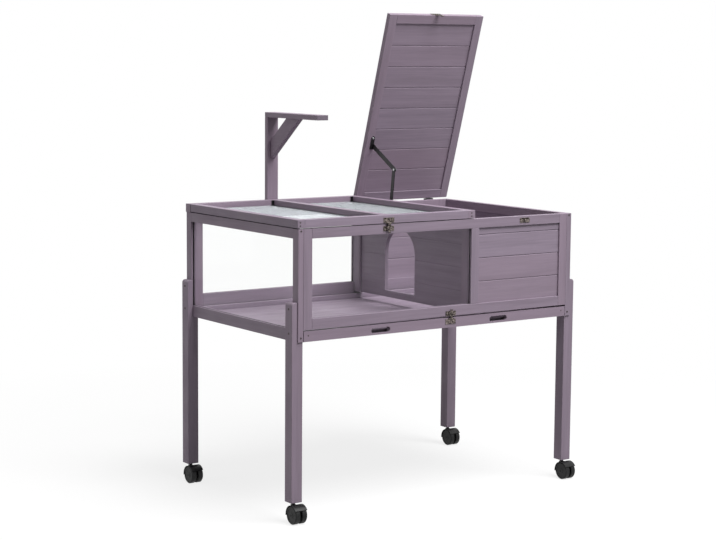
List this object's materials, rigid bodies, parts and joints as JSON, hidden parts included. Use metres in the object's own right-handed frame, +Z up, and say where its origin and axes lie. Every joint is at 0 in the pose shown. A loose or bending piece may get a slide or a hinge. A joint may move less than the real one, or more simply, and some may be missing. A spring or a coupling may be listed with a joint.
{
  "type": "terrarium cabinet",
  "caption": "Raised wooden terrarium cabinet on swivel casters, with clear windows, a lifting wire mesh lid, a stayed hide lid, a sliding floor tray and a lamp bracket.",
  "frame": {"origin": "centre of the cabinet body's footprint, on the floor that the casters stand on", "axes": "+Z up, +X along the cabinet's length towards the hide compartment, +Y towards the back where the lids are hinged"},
  "size_m": [0.9976, 0.6424, 1.3847],
  "materials": {
    "painted_wood": "grey mauve paint, satin, grain telling through",
    "clear_acrylic": "clear, polished",
    "bright_wire": "galvanised, bright",
    "black_steel": "black, semi-gloss",
    "old_bronze": "antique bronze plating",
    "dark_screw": "dark phosphate",
    "zinc_steel": "zinc plated",
    "caster_plastic": "black nylon",
    "caster_wheel": "black nylon, satin"
  },
  "bodies": {
    "cabinet": {"leg_front_left": "painted_wood", "leg_front_right": "painted_wood", "leg_rear_left": "painted_wood", "leg_rear_right": "painted_wood", "left_frame": "painted_wood", "left_window": "clear_acrylic", "right_frame": "painted_wood", "right_planks": "painted_wood", "front_frame": "painted_wood", "front_window": "clear_acrylic", "front_planks": "painted_wood", "back_frame": "painted_wood", "back_window": "clear_acrylic", "back_planks": "painted_wood", "partition": "painted_wood", "partition_rail": "painted_wood", "partition_battens": "painted_wood", "tray_runners": "painted_wood", "front_stretcher": "painted_wood", "rear_top_bar": "painted_wood", "lamp_post": "painted_wood", "lamp_arm": "painted_wood", "lamp_brace": "painted_wood", "mesh_hinge_base": "black_steel", "hide_hinge_base": "black_steel", "catch_plates": "old_bronze", "body_screws": "dark_screw", "stay_bracket_low": "black_steel", "caster_sockets": "zinc_steel"},
    "mesh_lid": {"mesh_lid_frame": "painted_wood", "mesh_lid_mesh": "bright_wire", "mesh_hinge_leaf": "black_steel", "mesh_hasp_plate": "old_bronze"},
    "mesh_hasp": {"mesh_hasp_flap": "old_bronze"},
    "hide_lid": {"hide_lid_frame": "painted_wood", "hide_lid_planks": "painted_wood", "hide_hinge_leaf": "black_steel", "hide_hasp_plate": "old_bronze", "stay_bracket_top": "black_steel"},
    "hide_hasp": {"hide_hasp_flap": "old_bronze"},
    "stay_upper": {"stay_link_top": "black_steel", "stay_rivet": "zinc_steel"},
    "stay_lower": {"stay_link_low": "black_steel"},
    "tray": {"tray_front": "painted_wood", "tray_floor": "painted_wood", "tray_sides": "painted_wood", "tray_hasp_plate": "old_bronze"},
    "tray_hasp": {"tray_hasp_flap": "old_bronze"},
    "caster_fl": {"caster_fl_fork": "caster_plastic"},
    "wheels_fl": {"caster_fl_wheels": "caster_wheel"},
    "caster_fr": {"caster_fr_fork": "caster_plastic"},
    "wheels_fr": {"caster_fr_wheels": "caster_wheel"},
    "caster_rl": {"caster_rl_fork": "caster_plastic"},
    "wheels_rl": {"caster_rl_wheels": "caster_wheel"},
    "caster_rr": {"caster_rr_fork": "caster_plastic"},
    "wheels_rr": {"caster_rr_wheels": "caster_wheel"}
  },
  "joints": [
    {"name": "mesh_lid_hinge", "type": "hinge", "parent": "cabinet", "child": "mesh_lid", "pos_m": [-0.1825, 0.2737, 0.8226], "axis": [-1, 0, 0], "range_deg": [0, 40]},
    {"name": "mesh_hasp_hinge", "type": "hinge", "parent": "mesh_lid", "child": "mesh_hasp", "pos_m": [-0.1855, -0.304, 0.803], "axis": [-1, 0, 0], "range_deg": [0, 150]},
    {"name": "hide_lid_hinge", "type": "hinge", "parent": "cabinet", "child": "hide_lid", "pos_m": [0.3015, 0.3028, 0.8012], "axis": [1, 0, 0], "range_deg": [0, 73]},
    {"name": "hide_hasp_hinge", "type": "hinge", "parent": "hide_lid", "child": "hide_hasp", "pos_m": [0.3005, 0.12711, 1.38201], "axis": [-1, 0, 0], "range_deg": [0, 150]},
    {"name": "stay_upper_pivot", "type": "hinge", "parent": "hide_lid", "child": "stay_upper", "pos_m": [0.1481, 0.24125, 0.97584], "axis": [1, 0, 0], "range_deg": [-86.7, 0]},
    {"name": "stay_lower_pivot", "type": "hinge", "parent": "cabinet", "child": "stay_lower", "pos_m": [0.1455, 0.152, 0.76], "axis": [1, 0, 0], "range_deg": [0, 83.9]},
    {"name": "tray_slide", "type": "slide", "parent": "cabinet", "child": "tray", "axis": [0, -1, 0], "range_m": [0, 0.4]},
    {"name": "tray_hasp_hinge", "type": "hinge", "parent": "tray", "child": "tray_hasp", "pos_m": [0.034, -0.303, 0.5205], "axis": [1, 0, 0], "range_deg": [0, 150]},
    {"name": "caster_fl_swivel", "type": "hinge", "parent": "cabinet", "child": "caster_fl", "pos_m": [-0.48, -0.28, 0.057], "axis": [0, 0, 1], "continuous": true},
    {"name": "caster_fl_axle", "type": "hinge", "parent": "caster_fl", "child": "wheels_fl", "pos_m": [-0.48, -0.298, 0.025], "axis": [1, 0, 0], "continuous": true},
    {"name": "caster_fr_swivel", "type": "hinge", "parent": "cabinet", "child": "caster_fr", "pos_m": [0.48, -0.28, 0.057], "axis": [0, 0, 1], "continuous": true},
    {"name": "caster_fr_axle", "type": "hinge", "parent": "caster_fr", "child": "wheels_fr", "pos_m": [0.48, -0.298, 0.025], "axis": [1, 0, 0], "continuous": true},
    {"name": "caster_rl_swivel", "type": "hinge", "parent": "cabinet", "child": "caster_rl", "pos_m": [-0.48, 0.28, 0.057], "axis": [0, 0, 1], "continuous": true},
    {"name": "caster_rl_axle", "type": "hinge", "parent": "caster_rl", "child": "wheels_rl", "pos_m": [-0.48, 0.262, 0.025], "axis": [1, 0, 0], "continuous": true},
    {"name": "caster_rr_swivel", "type": "hinge", "parent": "cabinet", "child": "caster_rr", "pos_m": [0.48, 0.28, 0.057], "axis": [0, 0, 1], "continuous": true},
    {"name": "caster_rr_axle", "type": "hinge", "parent": "caster_rr", "child": "wheels_rr", "pos_m": [0.48, 0.262, 0.025], "axis": [1, 0, 0], "continuous": true}
  ],
  "couplings": [
    {"joint": "stay_upper_pivot", "follows": "hide_lid_hinge", "ratio": -1.1869},
    {"joint": "stay_lower_pivot", "follows": "hide_lid_hinge", "ratio": 1.1491}
  ]
}
